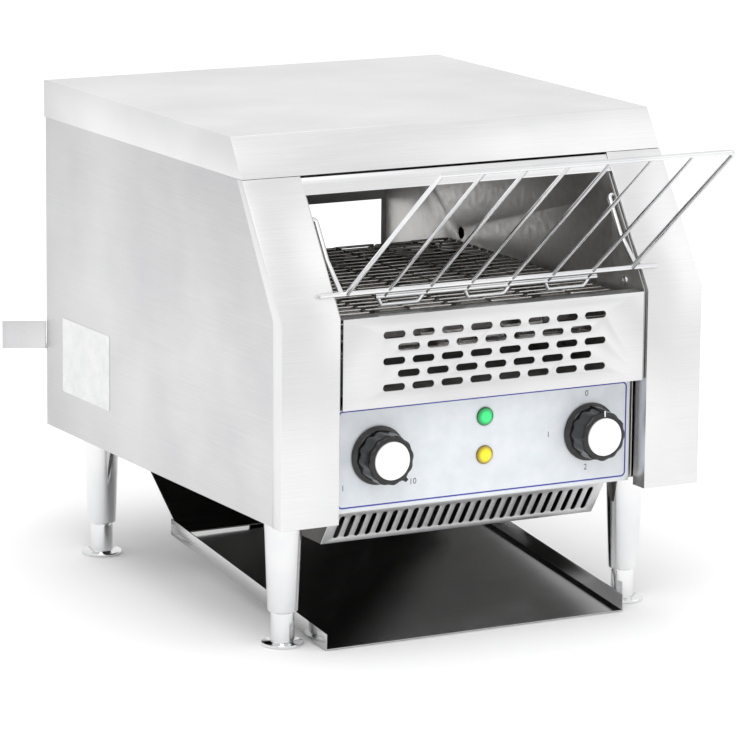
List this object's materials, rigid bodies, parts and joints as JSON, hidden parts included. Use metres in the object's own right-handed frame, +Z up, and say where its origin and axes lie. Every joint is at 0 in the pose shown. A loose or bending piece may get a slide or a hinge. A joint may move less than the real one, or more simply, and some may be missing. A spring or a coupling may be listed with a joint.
{
  "type": "conveyor toaster",
  "caption": "Countertop conveyor toaster with a wire belt, wire feed rack, slotted vent panel, two knobs and a sliding toast tray on tapered legs.",
  "frame": {"origin": "centre of the overall bounding box seen from above, on the surface that the feet stand on", "axes": "+X to the right seen from the front, +Y to the rear along the belt's travel, +Z up"},
  "size_m": [0.368, 0.6394, 0.3908],
  "materials": {
    "satin_stainless": "satin brushed stainless steel sheet",
    "chamber_steel": "mill finish stainless steel, lightly heat tinted",
    "bright_steel": "polished stainless steel",
    "belt_steel": "stainless wire darkened by heat",
    "plain_steel": "plain machined steel",
    "bush_bronze": "sintered bronze",
    "black_knob": "moulded matt black thermoset",
    "white_cap": "smooth white plastic",
    "fascia_film": "printed satin polyester film",
    "green_lens": "translucent green plastic",
    "amber_lens": "translucent amber plastic",
    "quartz": "frosted quartz tube",
    "ceramic_ends": "unglazed white ceramic",
    "dark_plastic": "black moulded plastic",
    "pale_plastic": "pale moulded plastic",
    "motor_metal": "die cast and plated metal"
  },
  "bodies": {
    "casing": {"base_plate": "satin_stainless", "belt_support": "belt_steel", "cable_gland": "dark_plastic", "control_box": "chamber_steel", "conveyor_belt": "belt_steel", "crossbar": "satin_stainless", "drive_chain": "plain_steel", "drop_chute": "bright_steel", "fan_frame": "dark_plastic", "fascia": "satin_stainless", "fascia_overlay": "fascia_film", "front_column_left": "satin_stainless", "front_column_right": "satin_stainless", "gear_motor": "motor_metal", "heat_lamp": "amber_lens", "heat_shield": "chamber_steel", "heater_caps": "ceramic_ends", "inner_wall_left": "chamber_steel", "inner_wall_right": "chamber_steel", "intake_grille": "satin_stainless", "legs": "bright_steel", "lid": "satin_stainless", "lower_heaters": "quartz", "lower_reflector": "chamber_steel", "mode_switch": "dark_plastic", "motor_bracket": "plain_steel", "panel_screws": "bright_steel", "power_lamp": "green_lens", "rear_panel": "satin_stainless", "rear_shelf": "satin_stainless", "safety_thermostat": "dark_plastic", "shaft_bushes": "bush_bronze", "side_panel_left": "satin_stainless", "side_panel_right": "satin_stainless", "speed_controller": "dark_plastic", "terminal_block": "pale_plastic", "tray_hanger": "satin_stainless", "upper_heaters": "quartz", "upper_reflector": "chamber_steel", "vent_panel": "satin_stainless"},
    "rack": {"feed_rack": "bright_steel"},
    "tray": {"toast_tray": "bright_steel"},
    "speed_control": {"speed_knob": "black_knob", "speed_knob_cap": "white_cap", "speed_shaft": "plain_steel"},
    "mode_control": {"mode_knob": "black_knob", "mode_knob_cap": "white_cap", "mode_shaft": "plain_steel"},
    "drive": {"drive_shaft": "plain_steel", "drive_belt_sprockets": "plain_steel", "shaft_chain_sprocket": "plain_steel"},
    "idler": {"idler_shaft": "plain_steel", "idler_belt_sprockets": "plain_steel"},
    "motor_output": {"motor_shaft": "plain_steel", "motor_sprocket": "plain_steel"},
    "fan": {"fan_impeller": "dark_plastic"},
    "levelling_foot_front_left": {"foot_front_left": "bright_steel"},
    "levelling_foot_front_right": {"foot_front_right": "bright_steel"},
    "levelling_foot_rear_left": {"foot_rear_left": "bright_steel"},
    "levelling_foot_rear_right": {"foot_rear_right": "bright_steel"}
  },
  "joints": [
    {"name": "rack_swing", "type": "hinge", "parent": "casing", "child": "rack", "pos_m": [0, -0.13433, 0.3285], "axis": [-1, 0, 0], "range_deg": [0, 45]},
    {"name": "tray_slide", "type": "slide", "parent": "casing", "child": "tray", "axis": [0, -1, 0], "range_m": [0, 0.24]},
    {"name": "speed_turn", "type": "hinge", "parent": "casing", "child": "speed_control", "pos_m": [-0.0935, -0.18622, 0.1508], "axis": [0, 1, 0], "range_deg": [-284, 0]},
    {"name": "mode_turn", "type": "hinge", "parent": "casing", "child": "mode_control", "pos_m": [0.0935, -0.18622, 0.1508], "axis": [0, 1, 0], "range_deg": [0, 270]},
    {"name": "drive_spin", "type": "hinge", "parent": "casing", "child": "drive", "pos_m": [0, 0.10678, 0.23941], "axis": [-1, 0, 0], "continuous": true},
    {"name": "idler_spin", "type": "hinge", "parent": "casing", "child": "idler", "pos_m": [0, -0.14722, 0.23941], "axis": [-1, 0, 0], "continuous": true},
    {"name": "motor_spin", "type": "hinge", "parent": "casing", "child": "motor_output", "pos_m": [0.146, 0.04678, 0.14941], "axis": [-1, 0, 0], "continuous": true},
    {"name": "fan_spin", "type": "hinge", "parent": "casing", "child": "fan", "pos_m": [0, -0.08122, 0.1176], "axis": [0, 1, 0], "continuous": true},
    {"name": "foot_front_left_height", "type": "slide", "parent": "casing", "child": "levelling_foot_front_left", "axis": [0, 0, -1], "range_m": [0, 0.012]},
    {"name": "foot_front_right_height", "type": "slide", "parent": "casing", "child": "levelling_foot_front_right", "axis": [0, 0, -1], "range_m": [0, 0.012]},
    {"name": "foot_rear_left_height", "type": "slide", "parent": "casing", "child": "levelling_foot_rear_left", "axis": [0, 0, -1], "range_m": [0, 0.012]},
    {"name": "foot_rear_right_height", "type": "slide", "parent": "casing", "child": "levelling_foot_rear_right", "axis": [0, 0, -1], "range_m": [0, 0.012]}
  ],
  "couplings": [
    {"joint": "idler_spin", "follows": "drive_spin", "ratio": 1},
    {"joint": "motor_spin", "follows": "drive_spin", "ratio": 1.5}
  ]
}
